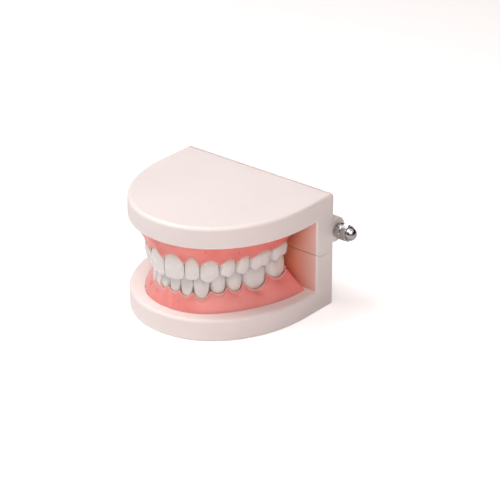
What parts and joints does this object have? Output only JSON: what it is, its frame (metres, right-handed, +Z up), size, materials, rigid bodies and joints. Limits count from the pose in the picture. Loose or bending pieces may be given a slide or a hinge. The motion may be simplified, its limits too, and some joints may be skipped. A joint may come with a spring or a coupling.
{
  "type": "typodont model",
  "caption": "Hinged dental study model: two base plates with pink gum arches and separate teeth, opening on a rod with cap nuts.",
  "frame": {"origin": "centre of the lower base plate's underside, halfway between its front and its rear face", "axes": "+X along the hinge towards the left jaw side of the model, -Y towards the front teeth, +Z up, jaws closed"},
  "size_m": [0.0998, 0.075, 0.052],
  "materials": {
    "base_plastic": "smooth satin cast plastic, warm white",
    "gum_plastic": "soft-gloss coral pink with rolled gum margins",
    "tooth_enamel": "glossy ivory white",
    "chrome_hardware": "bright plated steel",
    "rod_steel": "threaded plated steel"
  },
  "bodies": {
    "lower_jaw": {"lower_base": "base_plastic", "lower_gum": "gum_plastic", "lower_left_central_incisor": "tooth_enamel", "lower_left_lateral_incisor": "tooth_enamel", "lower_left_canine": "tooth_enamel", "lower_left_first_premolar": "tooth_enamel", "lower_left_second_premolar": "tooth_enamel", "lower_left_first_molar": "tooth_enamel", "lower_left_second_molar": "tooth_enamel", "lower_right_central_incisor": "tooth_enamel", "lower_right_lateral_incisor": "tooth_enamel", "lower_right_canine": "tooth_enamel", "lower_right_first_premolar": "tooth_enamel", "lower_right_second_premolar": "tooth_enamel", "lower_right_first_molar": "tooth_enamel", "lower_right_second_molar": "tooth_enamel"},
    "upper_jaw": {"upper_base": "base_plastic", "upper_gum": "gum_plastic", "upper_left_central_incisor": "tooth_enamel", "upper_left_lateral_incisor": "tooth_enamel", "upper_left_canine": "tooth_enamel", "upper_left_first_premolar": "tooth_enamel", "upper_left_second_premolar": "tooth_enamel", "upper_left_first_molar": "tooth_enamel", "upper_left_second_molar": "tooth_enamel", "upper_right_central_incisor": "tooth_enamel", "upper_right_lateral_incisor": "tooth_enamel", "upper_right_canine": "tooth_enamel", "upper_right_first_premolar": "tooth_enamel", "upper_right_second_premolar": "tooth_enamel", "upper_right_first_molar": "tooth_enamel", "upper_right_second_molar": "tooth_enamel", "hinge_rod": "rod_steel", "spring_washer_left": "chrome_hardware", "spring_washer_right": "chrome_hardware", "spacer_left": "chrome_hardware", "spacer_right": "chrome_hardware", "cap_nut_left": "chrome_hardware", "cap_nut_right": "chrome_hardware"}
  },
  "joints": [
    {"name": "jaw_hinge", "type": "hinge", "parent": "lower_jaw", "child": "upper_jaw", "pos_m": [0, 0.0359, 0.0342], "axis": [-1, 0, 0], "range_deg": [0, 180]}
  ]
}
